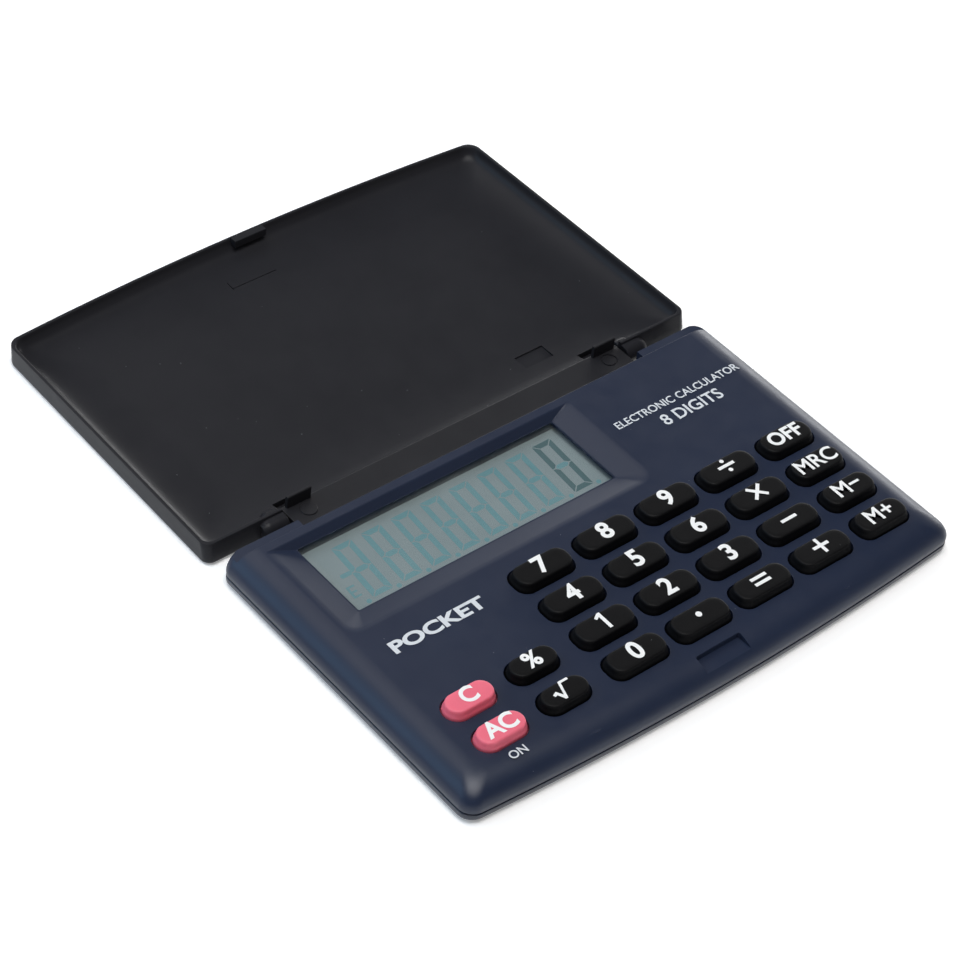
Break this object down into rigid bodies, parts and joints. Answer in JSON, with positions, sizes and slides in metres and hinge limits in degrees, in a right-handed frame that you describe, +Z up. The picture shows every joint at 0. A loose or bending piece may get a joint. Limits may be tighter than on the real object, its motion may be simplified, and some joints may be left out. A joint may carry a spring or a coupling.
{
  "type": "pocket calculator",
  "caption": "Folding pocket calculator with a liquid crystal display, rubber keys and a dished hard cover on a double-axis hinge plate.",
  "frame": {"origin": "middle of the keypad case's underside, on the desk", "axes": "+X along the hinge towards the memory keys, +Y from the case's front edge towards the open cover, +Z up"},
  "size_m": [0.0936, 0.1171, 0.0071],
  "materials": {
    "case_upper": "fine satin",
    "case_lower": "fine satin",
    "window": "clear",
    "lcd_glass": "polished",
    "reflector": "matt",
    "connector_rubber": "matt",
    "contact_rubber": "matt",
    "board": "solder mask",
    "resin": "glossy",
    "ceramic": "matt",
    "cell_steel": "polished",
    "contact_metal": "plated",
    "screw_steel": "zinc plated",
    "hinge_plastic": "satin",
    "cover_plastic": "satin",
    "key_black": "fine grain",
    "key_pink": "fine grain",
    "print_ink": "matt print"
  },
  "bodies": {
    "case": {"upper_case": "case_upper", "lower_case": "case_lower", "display_window": "window", "lcd_front_glass": "lcd_glass", "lcd_rear_glass": "lcd_glass", "lcd_reflector": "reflector", "zebra_strip": "connector_rubber", "contact_sheet": "contact_rubber", "circuit_board": "board", "calculator_chip": "resin", "board_capacitors": "ceramic", "button_cell": "cell_steel", "cell_contact_plus": "contact_metal", "cell_contact_minus": "contact_metal", "case_screws": "screw_steel"},
    "hinge": {"hinge_plate": "hinge_plastic"},
    "cover": {"cover_shell": "cover_plastic"},
    "key_7": {"key_7": "key_black"},
    "key_8": {"key_8": "key_black"},
    "key_9": {"key_9": "key_black"},
    "key_divide": {"key_divide": "key_black"},
    "key_off": {"key_off": "key_black"},
    "key_4": {"key_4": "key_black"},
    "key_5": {"key_5": "key_black"},
    "key_6": {"key_6": "key_black"},
    "key_multiply": {"key_multiply": "key_black"},
    "key_mrc": {"key_mrc": "key_black"},
    "key_c": {"key_c": "key_pink"},
    "key_percent": {"key_percent": "key_black"},
    "key_1": {"key_1": "key_black"},
    "key_2": {"key_2": "key_black"},
    "key_3": {"key_3": "key_black"},
    "key_minus": {"key_minus": "key_black"},
    "key_m_minus": {"key_m_minus": "key_black"},
    "key_ac": {"key_ac": "key_pink"},
    "key_root": {"key_root": "key_black"},
    "key_0": {"key_0": "key_black"},
    "key_point": {"key_point": "key_black"},
    "key_equals": {"key_equals": "key_black"},
    "key_plus": {"key_plus": "key_black"},
    "key_m_plus": {"key_m_plus": "key_black"}
  },
  "joints": [
    {"name": "hinge_on_case", "type": "hinge", "parent": "case", "child": "hinge", "pos_m": [0, 0.0275, 0.0028], "axis": [1, 0, 0], "range_deg": [-90, 90]},
    {"name": "cover_on_hinge", "type": "hinge", "parent": "hinge", "child": "cover", "pos_m": [0, 0.0324, 0.0018], "axis": [1, 0, 0], "range_deg": [-90, 90]},
    {"name": "press_7", "type": "slide", "parent": "case", "child": "key_7", "axis": [0, 0, -1], "range_m": [0, 0.0007], "stiffness_N_per_m": 400, "springref_m": -0.0003},
    {"name": "press_8", "type": "slide", "parent": "case", "child": "key_8", "axis": [0, 0, -1], "range_m": [0, 0.0007], "stiffness_N_per_m": 400, "springref_m": -0.0003},
    {"name": "press_9", "type": "slide", "parent": "case", "child": "key_9", "axis": [0, 0, -1], "range_m": [0, 0.0007], "stiffness_N_per_m": 400, "springref_m": -0.0003},
    {"name": "press_divide", "type": "slide", "parent": "case", "child": "key_divide", "axis": [0, 0, -1], "range_m": [0, 0.0007], "stiffness_N_per_m": 400, "springref_m": -0.0003},
    {"name": "press_off", "type": "slide", "parent": "case", "child": "key_off", "axis": [0, 0, -1], "range_m": [0, 0.0007], "stiffness_N_per_m": 400, "springref_m": -0.0003},
    {"name": "press_4", "type": "slide", "parent": "case", "child": "key_4", "axis": [0, 0, -1], "range_m": [0, 0.0007], "stiffness_N_per_m": 400, "springref_m": -0.0003},
    {"name": "press_5", "type": "slide", "parent": "case", "child": "key_5", "axis": [0, 0, -1], "range_m": [0, 0.0007], "stiffness_N_per_m": 400, "springref_m": -0.0003},
    {"name": "press_6", "type": "slide", "parent": "case", "child": "key_6", "axis": [0, 0, -1], "range_m": [0, 0.0007], "stiffness_N_per_m": 400, "springref_m": -0.0003},
    {"name": "press_multiply", "type": "slide", "parent": "case", "child": "key_multiply", "axis": [0, 0, -1], "range_m": [0, 0.0007], "stiffness_N_per_m": 400, "springref_m": -0.0003},
    {"name": "press_mrc", "type": "slide", "parent": "case", "child": "key_mrc", "axis": [0, 0, -1], "range_m": [0, 0.0007], "stiffness_N_per_m": 400, "springref_m": -0.0003},
    {"name": "press_c", "type": "slide", "parent": "case", "child": "key_c", "axis": [0, 0, -1], "range_m": [0, 0.0007], "stiffness_N_per_m": 400, "springref_m": -0.0003},
    {"name": "press_percent", "type": "slide", "parent": "case", "child": "key_percent", "axis": [0, 0, -1], "range_m": [0, 0.0007], "stiffness_N_per_m": 400, "springref_m": -0.0003},
    {"name": "press_1", "type": "slide", "parent": "case", "child": "key_1", "axis": [0, 0, -1], "range_m": [0, 0.0007], "stiffness_N_per_m": 400, "springref_m": -0.0003},
    {"name": "press_2", "type": "slide", "parent": "case", "child": "key_2", "axis": [0, 0, -1], "range_m": [0, 0.0007], "stiffness_N_per_m": 400, "springref_m": -0.0003},
    {"name": "press_3", "type": "slide", "parent": "case", "child": "key_3", "axis": [0, 0, -1], "range_m": [0, 0.0007], "stiffness_N_per_m": 400, "springref_m": -0.0003},
    {"name": "press_minus", "type": "slide", "parent": "case", "child": "key_minus", "axis": [0, 0, -1], "range_m": [0, 0.0007], "stiffness_N_per_m": 400, "springref_m": -0.0003},
    {"name": "press_m_minus", "type": "slide", "parent": "case", "child": "key_m_minus", "axis": [0, 0, -1], "range_m": [0, 0.0007], "stiffness_N_per_m": 400, "springref_m": -0.0003},
    {"name": "press_ac", "type": "slide", "parent": "case", "child": "key_ac", "axis": [0, 0, -1], "range_m": [0, 0.0007], "stiffness_N_per_m": 400, "springref_m": -0.0003},
    {"name": "press_root", "type": "slide", "parent": "case", "child": "key_root", "axis": [0, 0, -1], "range_m": [0, 0.0007], "stiffness_N_per_m": 400, "springref_m": -0.0003},
    {"name": "press_0", "type": "slide", "parent": "case", "child": "key_0", "axis": [0, 0, -1], "range_m": [0, 0.0007], "stiffness_N_per_m": 400, "springref_m": -0.0003},
    {"name": "press_point", "type": "slide", "parent": "case", "child": "key_point", "axis": [0, 0, -1], "range_m": [0, 0.0007], "stiffness_N_per_m": 400, "springref_m": -0.0003},
    {"name": "press_equals", "type": "slide", "parent": "case", "child": "key_equals", "axis": [0, 0, -1], "range_m": [0, 0.0007], "stiffness_N_per_m": 400, "springref_m": -0.0003},
    {"name": "press_plus", "type": "slide", "parent": "case", "child": "key_plus", "axis": [0, 0, -1], "range_m": [0, 0.0007], "stiffness_N_per_m": 400, "springref_m": -0.0003},
    {"name": "press_m_plus", "type": "slide", "parent": "case", "child": "key_m_plus", "axis": [0, 0, -1], "range_m": [0, 0.0007], "stiffness_N_per_m": 400, "springref_m": -0.0003}
  ]
}
